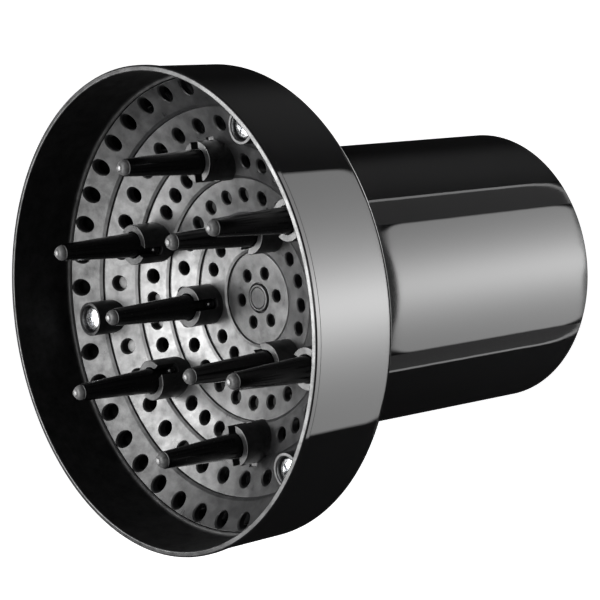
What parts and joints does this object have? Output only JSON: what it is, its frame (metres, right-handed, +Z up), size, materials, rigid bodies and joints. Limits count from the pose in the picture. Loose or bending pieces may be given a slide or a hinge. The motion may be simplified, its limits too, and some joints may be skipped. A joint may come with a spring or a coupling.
{
  "type": "hair dryer diffuser",
  "caption": "Bowl-shaped hair dryer diffuser on a long collar, with a dished perforated plate and push-in styling fingers held in slotted sockets.",
  "frame": {"origin": "centre of the collar's open end, where the dryer barrel goes in", "axes": "Y runs along the common axis of bowl and collar, the bowl faces -Y, +X is to the right seen from the front, +Z up"},
  "size_m": [0.15, 0.1547, 0.15],
  "materials": {
    "gloss_black_bowl": "high gloss moulded ABS",
    "gloss_black_collar": "high gloss moulded ABS",
    "satin_black_plate": "satin moulded heat-resistant nylon",
    "satin_black_deflector": "satin moulded heat-resistant nylon",
    "satin_black_cap": "satin moulded",
    "black_fingers": "smooth semi-gloss moulded",
    "black_rubber": "soft matt silicone rubber",
    "screw_chrome": "bright chrome plate"
  },
  "bodies": {
    "root": {"bowl_shell": "gloss_black_bowl", "collar": "gloss_black_collar", "diffuser_plate": "satin_black_plate", "air_deflector": "satin_black_deflector", "grip_ring": "black_rubber", "centre_cap": "satin_black_cap", "screw_1": "screw_chrome", "screw_2": "screw_chrome", "screw_3": "screw_chrome"},
    "finger_1": {"finger_pin_1": "black_fingers"},
    "finger_2": {"finger_pin_2": "black_fingers"},
    "finger_3": {"finger_pin_3": "black_fingers"},
    "finger_4": {"finger_pin_4": "black_fingers"},
    "finger_5": {"finger_pin_5": "black_fingers"},
    "finger_6": {"finger_pin_6": "black_fingers"},
    "finger_7": {"finger_pin_7": "black_fingers"},
    "finger_8": {"finger_pin_8": "black_fingers"},
    "finger_9": {"finger_pin_9": "black_fingers"}
  },
  "joints": [
    {"name": "finger_1_pull", "type": "slide", "parent": "root", "child": "finger_1", "axis": [0, -1, 0], "range_m": [0, 0.007]},
    {"name": "finger_2_pull", "type": "slide", "parent": "root", "child": "finger_2", "axis": [0, -1, 0], "range_m": [0, 0.007]},
    {"name": "finger_3_pull", "type": "slide", "parent": "root", "child": "finger_3", "axis": [0, -1, 0], "range_m": [0, 0.007]},
    {"name": "finger_4_pull", "type": "slide", "parent": "root", "child": "finger_4", "axis": [0, -1, 0], "range_m": [0, 0.007]},
    {"name": "finger_5_pull", "type": "slide", "parent": "root", "child": "finger_5", "axis": [0, -1, 0], "range_m": [0, 0.007]},
    {"name": "finger_6_pull", "type": "slide", "parent": "root", "child": "finger_6", "axis": [0, -1, 0], "range_m": [0, 0.007]},
    {"name": "finger_7_pull", "type": "slide", "parent": "root", "child": "finger_7", "axis": [0, -1, 0], "range_m": [0, 0.007]},
    {"name": "finger_8_pull", "type": "slide", "parent": "root", "child": "finger_8", "axis": [0, -1, 0], "range_m": [0, 0.007]},
    {"name": "finger_9_pull", "type": "slide", "parent": "root", "child": "finger_9", "axis": [0, -1, 0], "range_m": [0, 0.007]}
  ]
}
